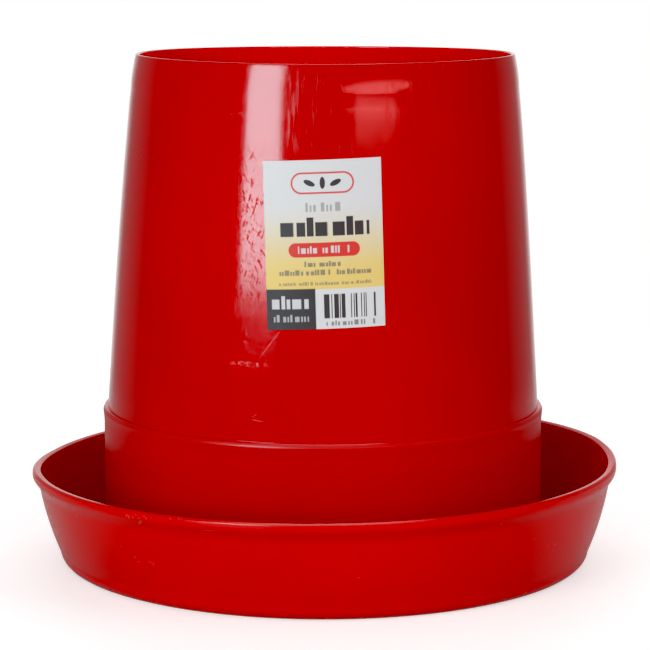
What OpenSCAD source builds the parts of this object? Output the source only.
// Gravity poultry feeder: an open hopper with a skirt stands in a round pan.
// Feed slides over a cone in the pan and out through the ports in the skirt.
// Origin: centre of the pan's underside. +Z is up, and -Y is the front, where the label is.

/* [Pan] */
// Outside diameter of the pan over its rim
pan_d = 357; // [340:1:380]
// Height of the pan's rim above the ground
pan_h = 60; // [55:0.5:70]
// Thickness of the pan's wall and floor
pan_t = 2.5; // [2:0.1:3]

/* [Hopper] */
// Outside diameter of the skirt
skirt_d = 267.2; // [265:0.2:272]
// Height of the skirt's shoulder above the ground
skirt_top = 95.2; // [85:0.1:110]
// Outside diameter of the hopper where it leaves the skirt
wall_d = 262.4; // [252:0.2:264]
// Outside diameter of the hopper at its mouth
mouth_d = 227.2; // [210:0.2:245]
// Height of the hopper's mouth above the ground
mouth_h = 308; // [292:1:340]
// Thickness of the hopper's wall
hopper_t = 2.4; // [2:0.1:3]

/* [Feed ports] */
// Number of ports around the skirt
port_count = 8; // [4:4:8]
// Width of one port
port_w = 52; // [30:1:52]
// Height of one port above the hopper's foot
port_h = 24; // [16:0.5:26]

/* [Feed cone] */
// Diameter of the cone's foot
cone_d = 226; // [200:1:230]
// Height of the cone's top above the ground
cone_h = 72; // [50:1:85]

/* [Label] */
// Width of the label
label_w = 67; // [50:0.5:80]
// Height of the label
label_h = 94.4; // [70:0.2:100]
// Height of the label's centre above the ground
label_z = 207.2; // [190:0.2:225]
// Turn of the label on the hopper, anticlockwise from the front, in degrees
label_turn = 2.1; // [-4:0.1:4]

/* [Hidden] */
$fn = 96;

red = [0.76, 0.02, 0.04];
foot_gap = 0.35;        // air between the hopper's foot and the pan's floor
sink = 0.5;             // how far a rib is sunk into the floor that carries it
bow_steps = 12;         // straight stretches in one bowed wall
corner_steps = 6;       // straight stretches in one rounded corner

rim_out = 4.5;          // from the pan's wall, just below the rim, out to the rim's edge
rim_h = 13.3;           // height of the rim with the flare below it
pan_lean = 11.6;        // how far the pan's wall leans out on its way up
pan_bow = 1.1;          // bulge of the pan's wall
foot_corner = 8;        // rounding between the pan's wall and its floor
inner_start = -25;      // the same rounding inside starts at this angle
bead_r = 2.2;           // rounding of the rim's outer edge
bead_w = 5.2;           // width of the rim across its top
pan_r = pan_d / 2;
lip_r = pan_r - rim_out;
lip_z = pan_h - rim_h;
foot_r = lip_r - pan_lean;

band_h = 17;            // height of the hopper's top band, which leans in more
band_lean = 2.9;        // how far that band leans in
hopper_bow = 0.8;       // bulge of the hopper's wall
shoulder_h = 2;         // from the middle of the skirt's bead up to the shoulder
bead_out = 0.5;         // how far the skirt's bead stands out
mouth_ease = 0.9;       // rounding of the hopper's mouth
skirt_r = skirt_d / 2;
wall_r = wall_d / 2;
mouth_r = mouth_d / 2;
foot = pan_t + foot_gap;
crease_z = mouth_h - band_h;
crease_r = mouth_r + band_lean;
shoulder_z = skirt_top - shoulder_h;

pitch = 360 / port_count;   // from one port to the next, in degrees
lug_turn = -5;          // the lugs' place on a leg of the skirt, in degrees
hook_turn = 4.5;        // the hooks' place on the same leg while the hopper is unlocked
lug_w = 14;
lug_h = 3;
lug_reach = 9.4;        // from the skirt's outside to a lug's inner end
hook_w = 17;
hook_t = 2.4;           // thickness of a hook's wall, roof and stop
roof_gap = 0.7;         // air between a lug and the hook's roof
side_gap = 0.8;         // air between a lug's inner end and the hook's wall
skirt_gap = 1.2;        // air between the skirt's inside and the hook's roof
lug_in = skirt_r - lug_reach;
hook_in = lug_in - side_gap - hook_t;
hook_out = skirt_r - hopper_t - skirt_gap;

cone_t = 2.2;           // thickness of the cone and of its flange
flange = 6;             // width of the flange round the cone's foot
tip_r = 9;              // rounding of the cone's top

// Points of a straight stretch from a to b that bulges by sag to the right of its direction.
function bowed(a, b, sag, steps) =
    let (d = b - a, n = [d[1], -d[0]] / norm(d))
    [for (i = [0 : steps]) let (t = i / steps) a + d * t + n * 4 * sag * t * (1 - t)];

// Points of an arc about c.
function arc(c, r, from, to, steps) =
    [for (i = [0 : steps]) let (w = from + (to - from) * i / steps) c + r * [cos(w), sin(w)]];

function flipped(points) = [for (i = [len(points) - 1 : -1 : 0]) points[i]];
function moved(points, by) = [for (p = points) p + by];

// The pan's outer wall, from its foot to just below the rim, and the same wall inside.
pan_wall = bowed([foot_r, foot_corner], [lip_r, lip_z], pan_bow, bow_steps);
pan_inside = moved(pan_wall, [-pan_t, 0]);

// The hopper's outer wall, from the skirt's shoulder to the crease.
hopper_wall = bowed([wall_r, skirt_top], [crease_r, crease_z], hopper_bow, bow_steps);

// A section through one side, turned about the Z axis.
module turned(points) {
    rotate_extrude() polygon(points);
}

// A short stretch, width across, of a section turned about the Z axis, at an angle.
module ring_piece(points, width, angle) {
    reach = pan_r;
    rotate([0, 0, angle])
        intersection() {
            turned(points);
            translate([0, -width / 2, 0]) cube([reach, width, reach]);
        }
}

function rectangle(x0, x1, z0, z1) = [[x0, z0], [x1, z0], [x1, z1], [x0, z1]];

// The pan: a dished tray with a beaded rim, four hooks for the hopper and a ring for the cone.
module feed_pan() {
    root_z = pan_t - sink;
    roof_z = foot + lug_h + roof_gap;
    stop_in = 0.5;      // the stop stands this far in from the hook's end and from its roof's edge
    stop_sink = 1;      // how far the stop is sunk into the hook's wall and roof
    stop_turn = atan(((hook_w - hook_t) / 2 - stop_in) / hook_out);
    inner_corner = [foot_r - pan_t - foot_corner * cos(inner_start), pan_t + foot_corner];
    ring_gap = 0.6;     // air between the cone's flange and the ring round it
    ring_t = 2;
    ring_r = cone_d / 2 + ring_gap;
    color(red) {
        turned(concat(
            [[0, 0]],
            arc([foot_r - foot_corner, foot_corner], foot_corner, -90, -10, corner_steps),
            pan_wall,
            // the flare, the rounded edge and the eased top of the rim
            [[pan_r - 3.7, pan_h - 11], [pan_r - 2.6, pan_h - 8.5], [pan_r - 1, pan_h - 5.9]],
            arc([pan_r - bead_r, pan_h - bead_r - 0.8], bead_r, -30, 30, corner_steps),
            [[pan_r - 0.7, pan_h - 0.5], [pan_r - 1.7, pan_h]],
            [[pan_r - bead_w + 1, pan_h], [pan_r - bead_w, pan_h - 1.2]],
            flipped(pan_inside),
            arc(inner_corner, foot_corner, inner_start, -90, corner_steps),
            [[0, pan_t]]
        ));
        turned(rectangle(ring_r, ring_r + ring_t, root_z, pan_t + cone_t));
        for (i = [0 : 3]) {
            at = 90 * i + pitch / 2 + hook_turn;
            ring_piece([
                [hook_in, root_z], [hook_in + hook_t, root_z], [hook_in + hook_t, roof_z],
                [hook_out, roof_z], [hook_out, roof_z + hook_t], [hook_in, roof_z + hook_t]
            ], hook_w, at);
            ring_piece(rectangle(hook_in + stop_sink, hook_out - stop_in, root_z, roof_z + stop_sink),
                       hook_t, at + stop_turn);
        }
    }
}

// The cone: a thin shell with a flange that turns the feed outward to the ports.
module feed_cone() {
    r = cone_d / 2;
    top = [0, cone_h - tip_r];
    start = [r - flange, pan_t + cone_t];
    slope = atan2(top[1] - start[1], start[0]) + asin(tip_r / norm(top - start));
    under = start - cone_t * [sin(slope), cos(slope)];
    color(red)
        turned(concat(
            [[under[0], pan_t], [r, pan_t], [r, pan_t + cone_t], start],
            arc(top, tip_r, 90 - slope, 90, corner_steps),
            arc(top, tip_r - cone_t, 90, 90 - slope, corner_steps),
            [under]
        ));
}

// One port: an opening with round upper corners, cut from the foot of the skirt.
module port(angle) {
    corner = 9;
    depth = 40;
    rotate([0, 0, angle])
        translate([skirt_r - depth / 2, 0, 0])
            rotate([90, 0, 90])
                linear_extrude(depth) {
                    translate([-port_w / 2, 0]) square([port_w, foot + port_h - corner]);
                    translate([corner - port_w / 2, 0]) square([port_w - 2 * corner, foot + port_h]);
                    for (side = [-1, 1])
                        translate([side * (port_w / 2 - corner), foot + port_h - corner])
                            circle(corner);
                }
}

// A raised mark on the front of the skirt that shows where the hopper locks.
module lock_mark() {
    half_w = 7.3;
    rise = 3;           // from the V's tips down to its point
    line_w = 1.3;       // width of the V's line
    relief = 0.5;       // how far the mark stands out
    root = 0.8;         // how far it is sunk into the skirt
    x = 9.4;
    z = 78.8;
    intersection() {
        translate([x, 0, z])
            rotate([90, 0, 0])
                linear_extrude(skirt_r + relief)
                    polygon([
                        [-half_w, rise / 2], [0, -rise / 2], [half_w, rise / 2],
                        [half_w, rise / 2 - line_w], [0, -rise / 2 - line_w], [-half_w, rise / 2 - line_w]
                    ]);
        difference() {
            cylinder(r = skirt_r + relief, h = skirt_top);
            translate([0, 0, -1]) cylinder(r = skirt_r - root, h = skirt_top + 2);
        }
    }
}

// The hopper: a tapered wall that ends in a wider skirt with the feed ports in its foot.
module hopper() {
    inner = moved(hopper_wall, [-hopper_t, 0]);
    color(red) {
        difference() {
            turned(concat(
                [[skirt_r - hopper_t, foot], [skirt_r, foot]],
                // the skirt's bead, rounded over to the shoulder
                [[skirt_r, shoulder_z - 4.5], [skirt_r + bead_out, shoulder_z - 1.5]],
                arc([skirt_r + bead_out - 2.1, shoulder_z], 2.1, 15, 60, corner_steps),
                hopper_wall,
                [[mouth_r + 0.3, mouth_h - 1.2]],
                arc([mouth_r - mouth_ease, mouth_h - mouth_ease], mouth_ease, 20, 160, corner_steps),
                [[mouth_r - hopper_t + 0.3, mouth_h - 2]],
                flipped(inner),
                [[skirt_r - hopper_t, shoulder_z - 3.5]]
            ));
            for (i = [0 : port_count - 1])
                port(pitch * i);
        }
        for (i = [0 : 3])
            ring_piece(rectangle(lug_in, skirt_r - hopper_t / 2, foot, foot + lug_h),
                       lug_w, 90 * i + pitch / 2 + lug_turn);
        lock_mark();
    }
}

// The label: a thin sheet on the front of the hopper's wall.
module label() {
    thick = 0.25;
    color([0.93, 0.88, 0.66])
        intersection() {
            turned(concat(hopper_wall, flipped(moved(hopper_wall, [thick, 0]))));
            translate([0, 0, label_z])
                rotate([0, -label_turn, 0])
                    translate([-label_w / 2, -skirt_r, -label_h / 2])
                        cube([label_w, skirt_r, label_h]);
        }
}

feed_pan();
feed_cone();
hopper();
label();
